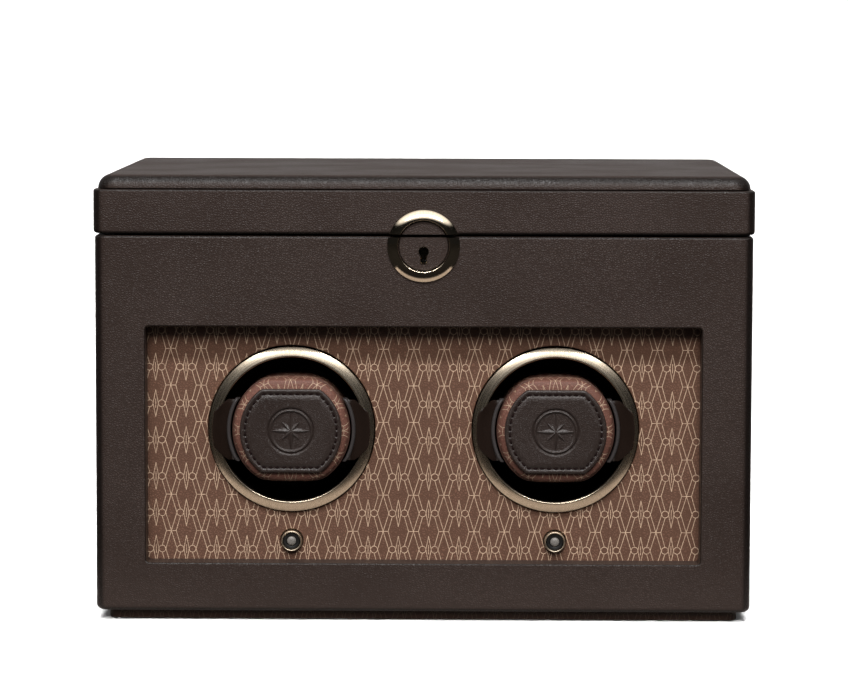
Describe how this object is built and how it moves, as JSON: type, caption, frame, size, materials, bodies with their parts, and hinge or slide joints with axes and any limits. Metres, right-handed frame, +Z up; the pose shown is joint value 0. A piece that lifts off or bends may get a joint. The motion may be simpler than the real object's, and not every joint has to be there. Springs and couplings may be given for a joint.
{
  "type": "watch winder box",
  "caption": "Leather-covered box whose front recess holds motor-driven drums with padded watch cuffs and push buttons, under a lockable hinged lid over a lined tray.",
  "frame": {"origin": "on the floor, under the middle of the whole object's bounding box", "axes": "+Z up, +Y from the front to the back, +X to the right as seen from the front"},
  "size_m": [0.3192, 0.223, 0.2166],
  "materials": {
    "shell_leather": "fine-grained espresso leather over board, satin",
    "pattern_leather": "brown coated leather with a printed lattice of fine tan lines",
    "cuff_leather": "reddish brown embossed leather over foam, dark stitched face",
    "pillow_leather": "soft leather over foam",
    "lining": "soft suede-like lining, matt",
    "champagne_metal": "brushed champagne gold plating",
    "black_plastic": "black moulded plastic",
    "brown_plastic": "dark brown glossy moulding",
    "steel": "plated steel",
    "brass": "turned brass",
    "acetal": "natural acetal",
    "circuit_board": "green solder resist",
    "board": "fibreboard",
    "lens": "frosted translucent plastic"
  },
  "bodies": {
    "root": {"front_frame": "shell_leather", "side_left": "shell_leather", "side_right": "shell_leather", "back_board": "shell_leather", "medallion_disc_lower": "shell_leather", "base_plinth": "pattern_leather", "module_panel": "pattern_leather", "pillow_left": "pillow_leather", "pillow_middle": "pillow_leather", "pillow_right": "pillow_leather", "tray_liner": "lining", "tray_dividers": "lining", "medallion_ring_lower": "champagne_metal", "button_bezel_left": "champagne_metal", "button_bezel_right": "champagne_metal", "power_jack": "black_plastic", "gear_motor_left": "steel", "gear_motor_right": "steel", "hinge_pin_left": "steel", "hinge_pin_right": "steel", "lock_case": "steel", "drum_bush_left": "brass", "drum_bush_right": "brass", "hinge_case_leaf_left": "brass", "hinge_case_leaf_right": "brass", "control_board": "circuit_board", "switch_board": "circuit_board", "bottom_board": "board", "storage_floor": "board", "bulkhead": "board"},
    "lid": {"lid_band": "shell_leather", "lid_top": "shell_leather", "lid_lining": "lining", "strike_plate": "steel", "hinge_lid_leaf_left": "brass", "hinge_lid_leaf_right": "brass", "medallion_ring_upper": "champagne_metal", "medallion_disc_upper": "shell_leather"},
    "lock": {"lock_rotor": "brass", "lock_hook": "steel"},
    "drum_left": {"drum_ring_left": "champagne_metal", "drum_cup_left": "black_plastic", "drum_gear_left": "acetal", "drum_shaft_left": "steel"},
    "pinion_left": {"motor_pinion_left": "brass"},
    "cuff_left": {"cuff_yoke_left": "brown_plastic", "cuff_cushion_left": "cuff_leather", "cuff_face_left": "cuff_leather"},
    "button_left": {"button_cap_left": "black_plastic", "button_lens_left": "lens"},
    "drum_right": {"drum_ring_right": "champagne_metal", "drum_cup_right": "black_plastic", "drum_gear_right": "acetal", "drum_shaft_right": "steel"},
    "pinion_right": {"motor_pinion_right": "brass"},
    "cuff_right": {"cuff_yoke_right": "brown_plastic", "cuff_cushion_right": "cuff_leather", "cuff_face_right": "cuff_leather"},
    "button_right": {"button_cap_right": "black_plastic", "button_lens_right": "lens"}
  },
  "joints": [
    {"name": "lid_hinge", "type": "hinge", "parent": "root", "child": "lid", "pos_m": [0, 0.1093, 0.1879], "axis": [-1, 0, 0], "range_deg": [0, 95]},
    {"name": "lock_turn", "type": "hinge", "parent": "root", "child": "lock", "pos_m": [0, -0.1003, 0.1803], "axis": [0, -1, 0], "range_deg": [0, 90]},
    {"name": "drum_spin_left", "type": "hinge", "parent": "root", "child": "drum_left", "pos_m": [-0.0642, -0.06, 0.0927], "axis": [0, 1, 0], "continuous": true},
    {"name": "pinion_spin_left", "type": "hinge", "parent": "root", "child": "pinion_left", "pos_m": [-0.0342, -0.03, 0.0927], "axis": [0, 1, 0], "continuous": true},
    {"name": "cuff_pull_left", "type": "slide", "parent": "drum_left", "child": "cuff_left", "axis": [0, -1, 0], "range_m": [0, 0.06]},
    {"name": "button_press_left", "type": "slide", "parent": "root", "child": "button_left", "axis": [0, 1, 0], "range_m": [0, 0.0008], "stiffness_N_per_m": 800},
    {"name": "drum_spin_right", "type": "hinge", "parent": "root", "child": "drum_right", "pos_m": [0.0642, -0.06, 0.0927], "axis": [0, 1, 0], "continuous": true},
    {"name": "pinion_spin_right", "type": "hinge", "parent": "root", "child": "pinion_right", "pos_m": [0.0342, -0.03, 0.0927], "axis": [0, 1, 0], "continuous": true},
    {"name": "cuff_pull_right", "type": "slide", "parent": "drum_right", "child": "cuff_right", "axis": [0, -1, 0], "range_m": [0, 0.06]},
    {"name": "button_press_right", "type": "slide", "parent": "root", "child": "button_right", "axis": [0, 1, 0], "range_m": [0, 0.0008], "stiffness_N_per_m": 800}
  ],
  "couplings": [
    {"joint": "pinion_spin_left", "follows": "drum_spin_left", "ratio": -3},
    {"joint": "pinion_spin_right", "follows": "drum_spin_right", "ratio": -3}
  ]
}
